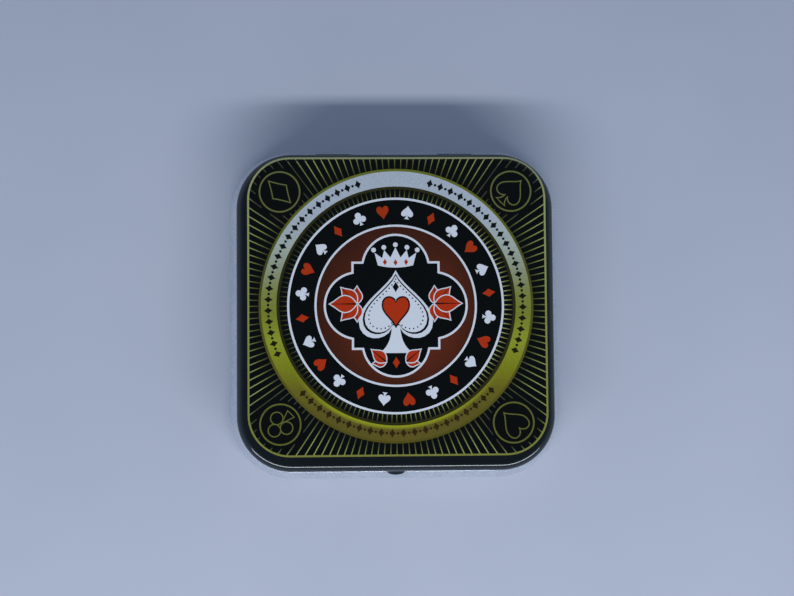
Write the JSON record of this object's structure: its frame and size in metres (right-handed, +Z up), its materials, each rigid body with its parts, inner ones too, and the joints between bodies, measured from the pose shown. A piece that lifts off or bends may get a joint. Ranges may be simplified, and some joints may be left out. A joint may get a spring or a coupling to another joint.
{
  "type": "dealer button in a hinged tin",
  "caption": "Round metal dealer button with printed, resin-domed faces, lying in foam in a square hinged tin with round corners, a printed lid and a thumb notch.",
  "frame": {"origin": "middle of the underside of the closed tin", "axes": "+Z up, out of the lid; -Y towards the thumb notch; the hinge line runs along X at the +Y side"},
  "size_m": [0.076, 0.076, 0.0155],
  "materials": {
    "bare_tinplate": "satin",
    "printed_tinplate": "gloss",
    "foam": "matte",
    "plated_metal": "polished",
    "printed_disc": "gloss",
    "clear_resin": "polished"
  },
  "bodies": {
    "base": {"base_shell": "bare_tinplate", "foam_base": "foam", "foam_insert": "foam", "button_core": "plated_metal", "front_print": "printed_disc", "back_print": "printed_disc", "front_dome": "clear_resin", "back_dome": "clear_resin"},
    "lid": {"lid_shell": "printed_tinplate", "lid_foam": "foam"}
  },
  "joints": [
    {"name": "lid_hinge", "type": "hinge", "parent": "base", "child": "lid", "pos_m": [0, 0.036, 0.0099], "axis": [-1, 0, 0], "range_deg": [0, 130]}
  ]
}
